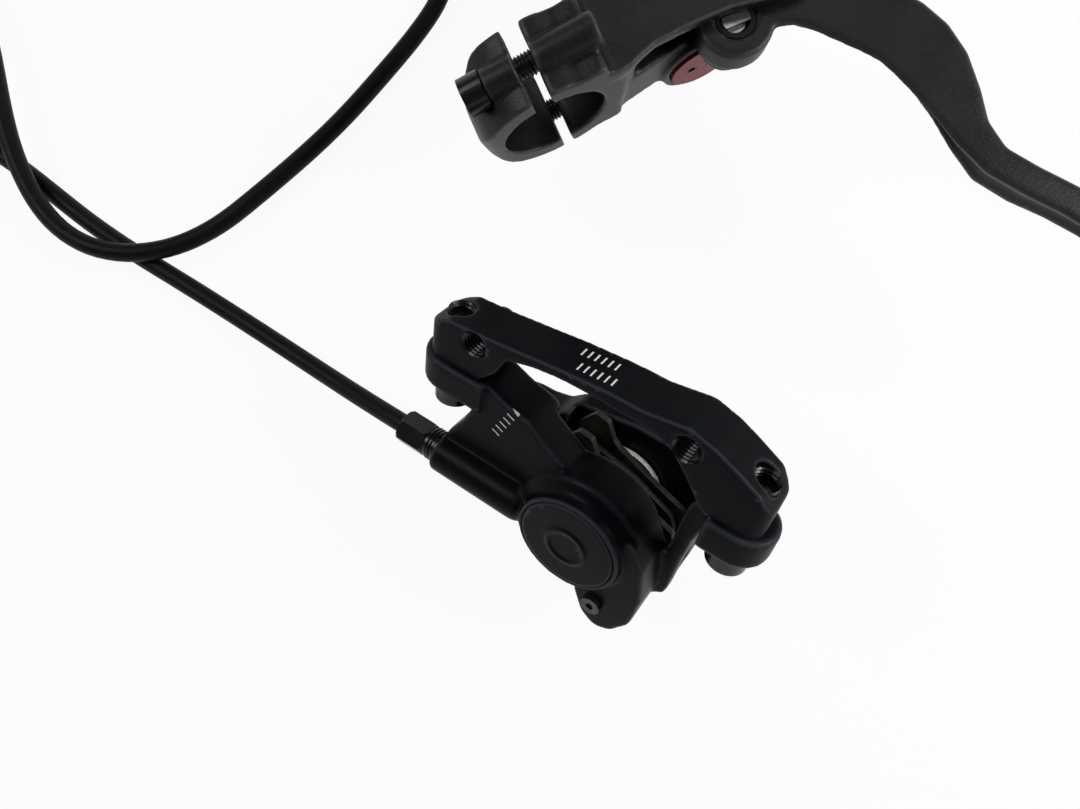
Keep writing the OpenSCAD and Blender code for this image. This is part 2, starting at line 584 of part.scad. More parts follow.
module caliper_body() color([0.09, 0.1, 0.12]) caliper_frame() difference() {
    union() {
        near_half();
        far_half();
        // Bridge round the rotor's rim
        slab(slot_far - 1, slot_near + 1) polygon(rounded([[-12, -41.5], [-4, -47], [8, -51.5], [20, -53],
            [27, -46], [28.3, -36], [22, -34], [-8, -34]], 2));
    }
    slab(slot_far, slot_near) translate([piston_u, slot_end + slot_r]) circle(r = slot_r, $fn = 180);
    // Pad pocket, open at the top
    slab(far_wall, near_wall) polygon(rounded([[-11, 10], [-11, -16], [-9, -40.6], [9.5, -40.6], [9.5, -49],
        [20.5, -49], [21, -40], [26, -37], [27, -28], [25.6, -18], [22, 10]], 1));
    translate([piston_u, -piston_v, far_end + 2]) cylinder(r = piston_r + running, h = 60);
    translate([piston_u, -piston_v, housing_top - cap_t]) cylinder(r = cap_r + 0.02, h = 10);
    for (z = [near_seal_z, far_seal_z]) translate([piston_u, -piston_v, z - 0.1])
        cylinder(r = piston_r + seal_w + 0.1, h = seal_h + 0.2);
    for (s = [-1, 1]) {
        bolt_slot(s);
        translate([s * post, -ear_t - 8, 0]) rotate([-90, 0, 0]) cylinder(r = bolt_head_r + 1.2, h = 8);
    }
    translate([0, hose_v, hose_m]) {
        rod_x(boss_u - 1, port_r, 12);
        rod_x(boss_u, 1.2, 30);
    }
    translate([pin_at[0], pin_at[1], far_end - 1]) {
        cylinder(r = pad_pin_r + 0.02, h = 60);
        cylinder(r = 3.4, h = 2.4);
    }
    bleed_frame() cylinder(r = 2.5, h = 8);
}
seal_w = 1.9;
seal_h = 1.9;
module bleed_frame() translate([-28, -24, rotor_m - 7]) rotate([0, 90, 0]) translate([0, 0, -1]) children();

module cylinder_cap() color([0.1, 0.11, 0.13]) caliper_frame()
    translate([piston_u, -piston_v, housing_top - cap_t]) rotate_extrude()
        polygon([[0, 0], [cap_r, 0], [cap_r, 0.6], [cap_r - 1, 0.6], [cap_r - 1, 1.8], [cap_r, 1.8],
            [cap_r, cap_t - 0.3], [cap_r - 0.3, cap_t], [5.5, cap_t],
            [5.3, cap_t + 0.4], [4.5, cap_t + 0.4], [4.3, cap_t], [0, cap_t]]);

// Square-section ring round the pistons' axis
module ring_seal(r0, r1, z, h) translate([piston_u, -piston_v, z]) rotate_extrude()
    translate([r0, 0]) square([r1 - r0, h]);

module cap_seal() color([0.08, 0.08, 0.08]) caliper_frame()
    ring_seal(cap_r - 0.98, cap_r, housing_top - cap_t + 0.65, 1.1);

module piston(z, l, low) translate([piston_u, -piston_v, z]) difference() {
    cylinder(r = piston_r, h = l);
    translate([0, 0, low ? -1 : l - 3]) cylinder(r = piston_r - 4, h = 4);
}

near_z = rotor_m + pad_back;
far_z = rotor_m - pad_back;
near_l = 9;
far_l = 5;
near_seal_z = near_z + 3;
far_seal_z = far_z - 4.6;
module near_piston() color([0.75, 0.75, 0.74]) caliper_frame() piston(near_z, near_l, true);
module far_piston() color([0.75, 0.75, 0.74]) caliper_frame() piston(far_z - far_l, far_l, false);
module near_piston_seal() color([0.08, 0.08, 0.08]) caliper_frame()
    ring_seal(piston_r + 0.02, piston_r + seal_w, near_seal_z, seal_h);
module far_piston_seal() color([0.08, 0.08, 0.08]) caliper_frame()
    ring_seal(piston_r + 0.02, piston_r + seal_w, far_seal_z, seal_h);

module pad_outline() polygon(rounded([[-8, -39], [10.6, -39], [10.6, -48], [19.6, -48], [20, -39],
    [24, -35.5], [25.5, -28], [24, -22.6], [17, -20.2], [9, -17], [3.4, -14.6], [1.6, -13.2], [-1, -8.6], [-4.5, -8], [-8, -13]], 1.2));
module lining_outline() polygon(rounded([[-5.5, -37.5], [19, -37.5], [22.5, -34], [23, -28],
    [21, -24.4], [10, -19.4], [0, -16.8], [-5.5, -16]], 1.5));

module pad_plate(z) slab(z, z + plate_pad_t) difference() {
    pad_outline();
    translate(pin_at) circle(r = pad_pin_r + 0.25);
}
module near_pad_plate() color([0.36, 0.35, 0.24]) caliper_frame() pad_plate(rotor_m + plate_face);
module far_pad_plate() color([0.36, 0.35, 0.24]) caliper_frame() pad_plate(rotor_m - plate_face - plate_pad_t);
module near_pad_lining() color([0.3, 0.26, 0.22]) caliper_frame()
    slab(rotor_m + lining_face, rotor_m + plate_face) lining_outline();
module far_pad_lining() color([0.3, 0.26, 0.22]) caliper_frame()
    slab(rotor_m - plate_face, rotor_m - lining_face) lining_outline();

// Sprung strip that bridges the two pads outside the rotor's rim
module pad_spring() color([0.5, 0.5, 0.46]) caliper_frame()
    translate([-4, 0, 0]) rotate([90, 0, 90]) linear_extrude(12)
        polygon([[-39.1, far_z + 0.1], [-39.05, far_z + 1.4], [-40.1, rotor_m - 2], [-40.1, rotor_m + 2],
            [-39.05, near_z - 1.4], [-39.1, near_z - 0.1], [-39.4, near_z - 0.1], [-39.35, near_z - 1.4],
            [-40.45, rotor_m + 2], [-40.45, rotor_m - 2], [-39.35, far_z + 1.4], [-39.4, far_z + 0.1]]);

module pad_pin() color([0.6, 0.6, 0.6]) caliper_frame() translate([pin_at[0], pin_at[1], far_end + 0.2]) difference() {
    union() {
        cylinder(r = pad_pin_r, h = leg_top - far_end);
        translate([0, 0, leg_top - far_end - 0.2]) cylinder(r = 2.6, h = 1.4);
    }
    translate([0, 0, leg_top - far_end]) cylinder(r = 1.1, h = 3, $fn = 6);
}

module pin_clip() color([0.7, 0.68, 0.6]) caliper_frame() translate([pin_at[0], pin_at[1], far_end + 0.5])
    difference() {
        cylinder(r = 2.8, h = 0.6);
        translate([0, 0, -1]) cylinder(r = pad_pin_r + 0.02, h = 3);
        translate([0, -0.9, -1]) cube([4, 1.8, 3]);
    }

module caliper_bleed_screw() color([0.3, 0.3, 0.31]) caliper_frame() bleed_frame() {
    translate([0, 0, 0.5]) cylinder(r = 2.45, h = 5.7);
    translate([0, 0, -1.4]) cylinder(r = 3.4, h = 2.3, $fn = 6);
}

// Side view of the bracket, its length following the bolts' spacing
bracket_side = [for (p = [[-42, 0], [-42, 8.8], [-36.4, 11.9], [-27, 12.8], [-17, 14.2], [-8, bracket_h + 0.5],
    [3, bracket_h + 1.6], [11.3, bracket_h + 1.9], [16.5, bracket_h + 2.9], [21, bracket_h + 3.8], [27, 17.2],
    [32, 15], [38, 12], [41.6, 8], [41.6, 0], [29, 0], [23.5, 6.5], [19, 11.2], [14, 13.2], [0, 13.4],
    [-8, 13], [-14, 12], [-20.5, 10], [-23, 4.5], [-27, 0]]) [p[0] * post / 37, p[1]]];
module mount_bracket() color([0.1, 0.11, 0.13]) caliper_frame() difference() {
    intersection() {
        slab(-bracket_t / 2, bracket_t / 2) polygon(rounded(bracket_side, 1.6));
        rotate([-90, 0, 0]) linear_extrude(30) polygon(rounded([for (p = [[-1, -1], [1, -1], [1, 1], [-1, 1]])
            [p[0] * (post + 4.9), p[1] * bracket_t / 2]], 3.6));
    }
    for (s = [-1, 1]) translate([s * post, -1, 0]) rotate([-90, 0, 0]) cylinder(r = bolt_r, h = 40);
    for (p = fork_holes()) translate([p[0], p[1], -20]) cylinder(r = bolt_r, h = 40);
}
fork_u = -29.2;
fork_rise = 4.2;
function fork_holes() = [[fork_u, 9.4], [fork_u + sqrt(fork_pitch * fork_pitch - fork_rise * fork_rise), 9.4 + fork_rise]];

module mount_bolts() color([0.07, 0.07, 0.08]) caliper_frame() for (s = [-1, 1])
    translate([s * post, -ear_t - washer_t, 0]) rotate([-90, 0, 0]) difference() {
        union() {
            cylinder(r = bolt_r - 0.05, h = ear_t + washer_t + 9);
            translate([0, 0, -bolt_head_h]) cylinder(r = bolt_head_r, h = bolt_head_h);
        }
        translate([0, 0, -bolt_head_h - 1]) cylinder(r = 2.9, h = 4, $fn = 6);
    }

module mount_washers() color([0.12, 0.12, 0.13]) caliper_frame() for (s = [-1, 1])
    translate([s * post, -ear_t - washer_t, 0]) rotate([-90, 0, 0]) difference() {
        cylinder(r = bolt_head_r + 0.8, h = washer_t);
        translate([0, 0, -1]) cylinder(r = bolt_r + 0.2, h = 5);
    }

lever_body();
clamp_cap();
clamp_bolts();
lever_blade();
pivot_pin();
pivot_bush();
cylinder_plug();
plug_seal();
master_piston();
piston_seals();
return_spring();
reservoir_diaphragm();
reservoir_cover();
cover_screws();
lever_bleed_screw();
lever_hose_nut();
lever_hose_olive();
hose_upper_run();
hose_coil();
hose_lower_run();
caliper_hose_nut();
caliper_hose_olive();
caliper_body();
cylinder_cap();
cap_seal();
near_piston();
far_piston();
near_piston_seal();
far_piston_seal();
near_pad_plate();
near_pad_lining();
far_pad_plate();
far_pad_lining();
pad_spring();
pad_pin();
pin_clip();
caliper_bleed_screw();
mount_bracket();
mount_bolts();
mount_washers();
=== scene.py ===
# %% [markdown]
# A bicycle's hydraulic disc brake: a lever with its master cylinder, a hose,
# and a two-piston caliper on its bracket. The rigid frame comes from the
# packed model, in metres, with the handlebar clamp's centre at the origin.
# This file adds what a camera sees: the hose, finishes, soft edges, threads.

# %% Load the frame
import json
import math
import bmesh
import bpy
import numpy as np
from mathutils import Euler, Matrix, Vector


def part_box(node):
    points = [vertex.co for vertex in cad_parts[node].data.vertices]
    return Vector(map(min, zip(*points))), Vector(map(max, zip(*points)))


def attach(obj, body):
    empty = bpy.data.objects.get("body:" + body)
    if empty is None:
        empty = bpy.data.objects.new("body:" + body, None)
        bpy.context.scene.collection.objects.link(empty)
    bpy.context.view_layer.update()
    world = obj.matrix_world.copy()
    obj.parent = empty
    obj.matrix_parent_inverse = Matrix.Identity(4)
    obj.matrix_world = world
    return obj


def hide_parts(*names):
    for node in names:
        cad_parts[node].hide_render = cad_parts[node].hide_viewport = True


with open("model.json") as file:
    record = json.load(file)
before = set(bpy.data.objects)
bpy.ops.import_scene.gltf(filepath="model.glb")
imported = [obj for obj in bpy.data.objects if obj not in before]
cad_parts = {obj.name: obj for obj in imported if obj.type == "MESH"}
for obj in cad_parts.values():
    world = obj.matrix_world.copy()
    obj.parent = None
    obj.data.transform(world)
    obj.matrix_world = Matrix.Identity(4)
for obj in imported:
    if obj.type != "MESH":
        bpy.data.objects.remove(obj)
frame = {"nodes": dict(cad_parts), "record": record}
nodes = frame["nodes"]
bodies = frame["record"]["behaviour"]["bodies"]
body_of_node = {name: body for body, names in bodies.items() for name in names}
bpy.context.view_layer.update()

# %% [markdown]
# The photograph looks almost straight down on the parts, slightly turned.
# Angles would do to aim a camera, but its three axes are easier to fit to a
# picture: right, up, and back towards the camera, as columns of its matrix.

# %% Camera
def place_camera(spot, right, up, back, lens):
    """A camera at spot whose three axes are the columns of its matrix."""
    data = bpy.data.cameras.new("camera")
    data.lens = lens
    data.sensor_width = 36.0
    data.sensor_fit = "HORIZONTAL"
    data.clip_start = 0.01
    camera = bpy.data.objects.new("camera", data)
    bpy.context.collection.objects.link(camera)
    axes = np.array([right, up, back], float)
    axes /= np.linalg.norm(axes, axis=1)[:, None]
    matrix = np.eye(4)
    matrix[:3, :3] = axes.T
    matrix[:3, 3] = spot
    camera.matrix_world = Matrix(matrix.tolist())
    bpy.context.scene.camera = camera

eye = np.array([-0.0348, -0.07681, 0.18168])
picture_right = (0.9162, -0.4006, 0.0)
picture_up = (0.3999, 0.9145, 0.061)
towards_eye = (-0.0245, -0.0559, 0.9981)
lens_mm = 27.03
place_camera(eye, picture_right, picture_up, towards_eye, lens_mm)
print("camera at", eye, "with a lens of", lens_mm, "mm")

# %% [markdown]
# The caliper sits in a turned frame of its own: u along its bolts' spacing,
# v up through its ears, m towards its near side. Points given there in
# millimetres are turned into the scene's metres by this frame.

# %% Caliper frame
caliper_degrees = (51, -16.5, -55)
caliper_turn = np.array(Euler([math.radians(a) for a in caliper_degrees], "XYZ").to_matrix())
caliper_at = np.array([-21.7, -75.9, 6.7])

def from_caliper(points):
    """Millimetres in the caliper's frame to metres in the scene."""
    return (np.asarray(points, float) @ caliper_turn.T + caliper_at) / 1000

print("caliper axes", caliper_turn.round(3).tolist())

# %% [markdown]
# The hose and the threads are sweeps: a section carried along a path. A curve
# object could sweep the hose, but a grid of points also makes closed ends and
# helical ridges, and its size is known exactly. First come smooth paths.

# %% Smooth paths
def eased(points, times=2):
    """Each inner point moves to (one before + 2 its own + one after) / 4, which
    takes the small zigzags out of a run and leaves its straight ends."""
    p = np.array(points, float)
    for _ in range(times):
        p[1:-1] = (p[:-2] + 2 * p[1:-1] + p[2:]) / 4
    return p

def smooth_path(points, spacing, fine=40):
    """Cubic B-spline along points, then points at equal steps of length.
    Between b and c, with t from 0 to 1, the curve is
    ((1-t)^3 a + (3t^3-6t^2+4) b + (-3t^3+3t^2+3t+1) c + t^3 d) / 6."""
    p = np.asarray(points, float)
    p = np.vstack([2 * p[0] - p[1], p, 2 * p[-1] - p[-2]])
    a, b, c, d = p[:-3, None], p[1:-2, None], p[2:-1, None], p[3:, None]
    t = np.linspace(0, 1, fine, endpoint=False)[None, :, None]
    share_b = 3 * t**3 - 6 * t**2 + 4
    share_c = 3 * t - 3 * t**3 + 3 * t**2 + 1
    dense = ((1 - t)**3 * a + share_b * b + share_c * c + t**3 * d) / 6
    dense = np.vstack([dense.reshape(-1, 3), p[-2]])
    run = np.concatenate([[0], np.cumsum(np.linalg.norm(np.diff(dense, axis=0), axis=1))])
    at = np.linspace(0, run[-1], int(run[-1] / spacing) + 1)
    return np.stack([np.interp(at, run, dense[:, k]) for k in range(3)], 1)

def path_frames(path, upright=0.15):
    """Unit tangent, side and rise along a path, with the side kept level. Where
    the path is nearly upright, the side is square to the x axis instead."""
    tangent = np.gradient(path, axis=0)
    tangent /= np.linalg.norm(tangent, axis=1)[:, None]
    side = np.cross(tangent, [0.0, 0.0, 1.0])
    weak = np.linalg.norm(side, axis=1) < upright
    side[weak] = np.cross(tangent[weak], [1.0, 0.0, 0.0])
    side /= np.linalg.norm(side, axis=1)[:, None]
    return tangent, side, np.cross(side, tangent)

def tube(path, radius, sides=24):
    """Points of a round tube: path + radius (cos a side + sin a rise)."""
    tangent, side, rise = path_frames(path)
    a = np.linspace(0, 2 * np.pi, sides, endpoint=False)[None, :, None]
    return path[:, None] + radius * (np.cos(a) * side[:, None] + np.sin(a) * rise[:, None])

trial = smooth_path([(0, 0, 0), (1, 0, 0), (1, 1, 0), (2, 1, 0)], 0.25)
print("a path through 4 points has", len(trial), "even steps")

# %% [markdown]
# A grid of points becomes a mesh when each point is joined to its neighbours
# by quads. Two fans of triangles close its ends, so that it has an inside, and
# its faces are then turned outwards, which the renderer needs.

# %% Meshes from grids
def grid_mesh(name, grid, caps=True):
    """Mesh of a grid of points (rows u, columns v): quads between neighbours,
    closed round v, with a fan of triangles over the first and last rows."""
    rows, columns = grid.shape[:2]
    row = np.arange(rows - 1)[:, None] * columns
    j = np.arange(columns)[None, :]
    j2 = (j + 1) % columns
    quads = np.stack([row + j, row + j2, row + columns + j2, row + columns + j], -1)
    faces = quads.reshape(-1, 4).tolist()
    points = grid.reshape(-1, 3)
    if caps:
        start, end = len(points), len(points) + 1
        points = np.vstack([points, grid[0].mean(0), grid[-1].mean(0)])
        k, k2 = j[0], j2[0]
        last = (rows - 1) * columns
        faces += np.stack([k2, k, np.full(columns, start)], 1).tolist()
        faces += np.stack([last + k, last + k2, np.full(columns, end)], 1).tolist()
    mesh = bpy.data.meshes.new(name)
    mesh.from_pydata(points.tolist(), [], faces)
    mesh.update()
    return mesh

def outward(mesh):
    """Turns the faces of a closed mesh outwards."""
    work = bmesh.new()
    work.from_mesh(mesh)
    bmesh.ops.recalc_face_normals(work, faces=work.faces)
    work.to_mesh(mesh)
    work.free()

def add_piece(name, mesh, body, smooth=True):
    """An object at the origin that rides on a body."""
    outward(mesh)
    mesh.polygons.foreach_set("use_smooth", np.full(len(mesh.polygons), smooth))
    piece = bpy.data.objects.new(name, mesh)
    bpy.context.collection.objects.link(piece)
    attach(piece, body)
    return piece

print("bodies to ride on", sorted(bodies))

# %% [markdown]
# The hose is one nylon tube, 5 mm thick. It leaves the lever's nut, lies in the
# photograph's loop, makes a flat coil of more than one and a half turns just
# outside the view, and comes back under itself to the caliper's nut. Late in
# its first turn the coil steps down from an upper layer to a lower one. A soft
# body would find its own lie, but chosen points follow the photograph.

# %% Hose
upper_mm = np.array([
    (37.8, 44.6, -7), (37.8, 51.6, -7), (37.8, 58.6, -7.5), (35.1, 68.6, -10.5),
    (27.8, 75.9, -15.5), (17.8, 78.6, -21), (7.8, 75.9, -26.5), (0.5, 68.6, -32),
    (-2.6, 61.6, -35.4), (-6.4, 54.2, -38.2), (-12.1, 49.3, -39.2), (-22.1, 43.4, -39.4),
    (-32.2, 38.3, -39.4), (-47.2, 30.8, -39.4), (-63.2, 24.6, -39), (-79.1, 19, -37.6),
    (-89, 16, -37.6), (-99.9, 14.6, -37), (-109.4, 15.4, -35.6), (-118.2, 18.6, -34.4),
    (-125.1, 24.1, -34), (-129.9, 31.5, -34), (-132.4, 39.9, -34), (-133.2, 48.6, -34),
    (-133.1, 57.4, -34), (-132, 66, -34), (-130.4, 74.5, -34), (-128.9, 82.5, -34.2),
    (-127.6, 90.6, -34.4)])
lower_mm = np.array([
    (-59.4, -61.6, -21.6), (-63.2, -56.1, -23.6), (-65.4, -53, -24.7), (-73.2, -43.4, -32),
    (-79.2, -33.4, -36), (-87.2, -22.4, -38), (-95.2, -9.4, -39.5), (-102.2, -0.4, -39.5),
    (-107.2, 8.6, -39.5), (-116.2, 19.6, -39.5), (-123.2, 29.6, -39.5), (-128.2, 40.6, -39.5),
    (-133.2, 51.6, -39.5), (-139.2, 61.6, -39.5), (-144.2, 67.2, -39.5), (-149.2, 71, -39.5)])
floor_z = -42.0
coil_x, coil_y, coil_radius = -155.2, 103.6, 27.5
coil_start = math.radians(-23.6)
turn_degrees = np.arange(30, 631, 15.0)
upper_layer, layer_step = 7.6, 5.1
drop_from, drop_over = 270, 70
around = np.radians(turn_degrees) + coil_start
drop = np.clip((turn_degrees - drop_from) / drop_over, 0, 1)
drop = drop * drop * (3 - 2 * drop)
coil_mm = np.stack([coil_x + coil_radius * np.cos(around), coil_y + coil_radius * np.sin(around),
                    floor_z + upper_layer - layer_step * drop], 1)
route = np.vstack([upper_mm, coil_mm, eased(lower_mm[::-1])]) / 1000
hose_radius, ring_step = 0.0025, 0.0025
hose_path = smooth_path(route, ring_step)
hose = add_piece("hose", grid_mesh("hose", tube(hose_path, hose_radius)), "brake")
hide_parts("hose_upper_run", "hose_coil", "hose_lower_run")

# %% [markdown]
# The photograph is a cut-out on white. An empty white world would lose the
# shadows, so a white sheet lies under the parts and takes them. What a camera
# or a shiny face sees of it is mostly flat white light. A low round wall of
# the same white closes the view from the sides.

# %% Floor and backdrop
def studio_white(name, share=0.93, reflectance=0.86):
    """White sheet: a diffuse part that takes shadows, and for camera, glossy
    and transmission rays a share of plain white light."""
    material = bpy.data.materials.new(name)
    material.use_nodes = True
    tree = material.node_tree
    tree.nodes.clear()
    out = tree.nodes.new("ShaderNodeOutputMaterial")
    mix = tree.nodes.new("ShaderNodeMixShader")
    sheet = tree.nodes.new("ShaderNodeBsdfDiffuse")
    glow = tree.nodes.new("ShaderNodeEmission")
    ray = tree.nodes.new("ShaderNodeLightPath")
    sheet.inputs["Color"].default_value = (reflectance, reflectance, reflectance, 1)
    seen = ray.outputs["Is Camera Ray"]
    for kind in ("Is Glossy Ray", "Is Transmission Ray"):
        add = tree.nodes.new("ShaderNodeMath")
        add.operation = "ADD"
        add.use_clamp = True
        tree.links.new(seen, add.inputs[0])
        tree.links.new(ray.outputs[kind], add.inputs[1])
        seen = add.outputs[0]
    scaled = tree.nodes.new("ShaderNodeMath")
    scaled.operation = "MULTIPLY"
    scaled.inputs[1].default_value = share
    tree.links.new(seen, scaled.inputs[0])
    tree.links.new(scaled.outputs[0], mix.inputs[0])
    tree.links.new(sheet.outputs[0], mix.inputs[1])
    tree.links.new(glow.outputs[0], mix.inputs[2])
    tree.links.new(mix.outputs[0], out.inputs["Surface"])
    return material

def staged(name, mesh, material_name):
    """An object of the studio, which is no part of the brake."""
    thing = bpy.data.objects.new(name, mesh)
    bpy.context.collection.objects.link(thing)
    mesh.materials.append(studio_white(material_name))
    return thing

reach, sheet_gap = 3.0, 0.0004
below = floor_z / 1000 - sheet_gap
sheet_corners = [(-reach, -reach, below), (reach, -reach, below),
                 (reach, reach, below), (-reach, reach, below)]
sheet_mesh = bpy.data.meshes.new("floor")
sheet_mesh.from_pydata(sheet_corners, [], [(0, 1, 2, 3)])
floor = staged("floor", sheet_mesh, "white_sheet")

wall_sides, wall_reach, wall_height = 96, 0.95 * reach, 1.1
wall_turn = np.linspace(0, 2 * np.pi, wall_sides + 1)[:-1][::-1]
ring = wall_reach * np.stack([np.cos(wall_turn), np.sin(wall_turn)], 1)
heights = (below, below + wall_height)
wall = np.stack([np.column_stack([ring, np.full(wall_sides, height)]) for height in heights])
backdrop = staged("backdrop", grid_mesh("backdrop", wall, caps=False), "white_wall")
print("floor", 2 * reach, "m wide, wall", round(wall_reach, 2), "m away")

# %% [markdown]
# The photograph's light is soft and comes from above. A box at the upper left
# draws thin bright lines on the caliper's edges, over the highlights painted
# there, a low one at the right opens up the lever's blade, and a weak third fills
# in. Small spots would light the same faces, but with hard shadows: a larger box
# softens what it draws.

# %% Lamps and world
def soft_lamp(name, spot, aim, size, watts):
    """Square area lamp at spot, turned so that its -Z points at aim."""
    data = bpy.data.lights.new(name, "AREA")
    data.shape = "SQUARE"
    data.size = size
    data.energy = watts
    lamp = bpy.data.objects.new(name, data)
    lamp.location = spot
    lamp.rotation_euler = (Vector(aim) - Vector(spot)).to_track_quat("-Z", "Y").to_euler()
    bpy.context.collection.objects.link(lamp)

middle = (-0.03, -0.05, 0.0)
beside_blade = (0.03, -0.03, 0.0)
soft_lamp("upper_left_box", (-0.45, 0.35, 0.70), middle, 0.34, 3.2)
soft_lamp("right_box", (0.52, -0.25, 0.36), beside_blade, 0.28, 3.4)
soft_lamp("upper_right_box", (0.40, 0.38, 0.70), middle, 0.36, 1.1)
world = bpy.data.worlds.new("studio")
bpy.context.scene.world = world
world.use_nodes = True
background = world.node_tree.nodes["Background"]
background.inputs["Color"].default_value = (0.62, 0.64, 0.66, 1)
background.inputs["Strength"].default_value = 0.16
bpy.context.scene.view_settings.view_transform = "Standard"

# %% [markdown]
# Each finish is a small network of nodes. Writing the maths of a pattern as a
# Python expression keeps it readable, so a class wraps a socket and turns
# +, -, * and / into Math nodes. One method makes every other node.

# %% Sockets in expressions
class Value:
    """A socket that can be used in an expression: each operator adds a Math node."""
    def __init__(self, shader, socket):
        self.shader, self.socket = shader, socket

    def maths(self, operation, *values, **settings):
        """A Math node on the values, in their order."""
        settings["operation"] = operation
        return self.shader.add("ShaderNodeMath", settings, dict(enumerate(values)))

    def __add__(self, other):
        return self.maths("ADD", self, other)

    def __mul__(self, other):
        return self.maths("MULTIPLY", self, other)

    def __sub__(self, other):
        return self.maths("SUBTRACT", self, other)

    def __rsub__(self, other):
        return self.maths("SUBTRACT", other, self)

    def __truediv__(self, other):
        return self.maths("DIVIDE", self, other)

    __radd__, __rmul__ = __add__, __mul__

    def clamp(self):
        return self.maths("ADD", self, 0.0, use_clamp=True)

    def fraction(self):
        return self.maths("FRACT", self)

    def away_from(self, centre):
        """Distance from centre, on either side."""
        return self.maths("ABSOLUTE", self - centre)

    def below(self, limit):
        """1 below limit, 0 above."""
        return self.maths("LESS_THAN", self, limit)

    def between(self, low, high):
        """0 below low, 1 above high, smooth between."""
        return self.shader.add("ShaderNodeMapRange", {"interpolation_type": "SMOOTHSTEP"},
                               {0: self, 1: low, 2: high, 3: 0.0, 4: 1.0})

print("a Value has", [name for name in vars(Value) if not name.startswith("__")])

# %% [markdown]
# A finish starts from one Principled BSDF, which can be metal, plastic or
# paint. Patterns are laid out by Object coordinates, so they don't stretch.
# Convex edges get a painted highlight and creases a painted shade. Cycles'
# pointiness, which tells how convex a mesh is at each point, mixes both into
# the colour.

# %% Finish class
class Finish:
    """A material with one Principled BSDF, and a method that adds any node."""
    def __init__(self, name, **constants):
        self.material = bpy.data.materials.new(name)
        self.material.use_nodes = True
        self.tree = self.material.node_tree
        self.surface = self.tree.nodes["Principled BSDF"]
        for key, value in constants.items():
            self.surface.inputs[key.replace("_", " ")].default_value = value
        place = self.tree.nodes.new("ShaderNodeTexCoord")
        self.place = Value(self, place.outputs["Object"])

    def add(self, kind, settings=None, inputs=None, output=0):
        """A node of a kind, its settings first, then the values or links of its sockets."""
        node = self.tree.nodes.new(kind)
        for key, value in (settings or {}).items():
            setattr(node, key, value)
        for key, value in (inputs or {}).items():
            if isinstance(value, Value):
                self.tree.links.new(value.socket, node.inputs[key])
            else:
                node.inputs[key].default_value = value
        return Value(self, node.outputs[output])

    def noise(self, scale, detail=2.0, rough=0.5):
        """Cloudy pattern with so many patches in a metre."""
        return self.add("ShaderNodeTexNoise", None,
                        {"Vector": self.place, "Scale": scale, "Detail": detail, "Roughness": rough})

    def mix(self, factor, one, other):
        """Colour from one to other as factor goes from 0 to 1."""
        node = self.tree.nodes.new("ShaderNodeMix")
        node.data_type = "RGBA"
        self.tree.links.new(factor.socket, node.inputs["Factor"])
        for socket, colour in ((node.inputs[6], one), (node.inputs[7], other)):
            if isinstance(colour, Value):
                self.tree.links.new(colour.socket, socket)
            else:
                socket.default_value = (*colour, 1.0)
        return Value(self, node.outputs[2])

    def set(self, name, value):
        self.tree.links.new(value.socket, self.surface.inputs[name])

    def bump(self, height, distance, strength=1.0):
        """Small relief, distance in metres between height 0 and 1."""
        inputs = {"Height": height, "Distance": distance, "Strength": strength}
        self.set("Normal", self.add("ShaderNodeBump", None, inputs))

    def pointed(self, low, high):
        """Cycles' pointiness is 0.5 on a face, more on a convex edge, less in a
        crease: 0 below low, 1 above high."""
        return self.add("ShaderNodeNewGeometry", output="Pointiness").between(low, high)

    def paint_edge_light_crease_shade(self, base, crease, edge_highlight, sharp, share):
        """A base colour with painted shade in creases and a painted highlight on convex edges."""
        base = self.mix(self.pointed(0.468, 0.497), crease, base)
        return self.mix(self.pointed(0.504, sharp) * share, base, edge_highlight)

    def along(self, axis, start):
        """Millimetres along an axis of the caliper's frame, from start."""
        direction = tuple(1000.0 * caliper_turn[:, axis])
        dot = self.add("ShaderNodeVectorMath", {"operation": "DOT_PRODUCT"},
                       {0: self.place, 1: direction}, "Value")
        return dot - float(caliper_turn[:, axis] @ caliper_at) - start

    def marks(self, across, along, long, wide, pitch, thick):
        """1 on a row of etched lines: long by thick, repeated at a pitch over wide."""
        row = (along / pitch).fraction().away_from(0.5).below(thick / pitch / 2)
        return row * across.away_from(0.0).below(long / 2) * along.away_from(0.0).below(wide / 2)

print("a Finish has", [name for name in vars(Finish) if not name.startswith("__")])

# %% [markdown]
# The lever is a casting under a thin matt powder paint. Its grain is fine and
# slightly uneven, and single grains glint: the glints are painted as light specks
# in the colour. Noise at four scales does this, for patches, orange peel, grain
# and the chance of a speck.

# %% Lever paint
def lever_paint():
    f = Finish("lever_paint", Specular_IOR_Level=0.22)
    patches = f.noise(140, 3)
    grain = f.noise(2600, 2, rough=0.6)
    cells = f.add("ShaderNodeTexVoronoi", {"feature": "F1"}, {"Vector": f.place, "Scale": 2300.0})
    specks = 1 - cells.between(0.08, 0.3)
    chance = f.noise(900, 1).between(0.56, 0.68)
    # painted glints: single grains made lighter in the colour
    painted_highlight = (specks * chance * 0.55).clamp()
    base = f.mix(patches.between(0.3, 0.7), (0.0040, 0.0049, 0.0054), (0.0075, 0.0088, 0.0094))
    # painted shade in the creases and painted highlights on the convex edges
    base = f.paint_edge_light_crease_shade(base, (0.0012, 0.0014, 0.0016), (0.050, 0.054, 0.056), 0.54, 0.8)
    f.set("Base Color", f.mix(painted_highlight, base, (0.065, 0.068, 0.070)))
    f.set("Roughness", 0.36 + patches * 0.1 - painted_highlight * 0.12)
    f.bump(grain * 0.7 + f.noise(520, 2) * 0.6, 0.00011, 0.75)
    return f.material

finishes = {"lever_casting": lever_paint()}
print("lever paint has", len(finishes["lever_casting"].node_tree.nodes), "nodes")

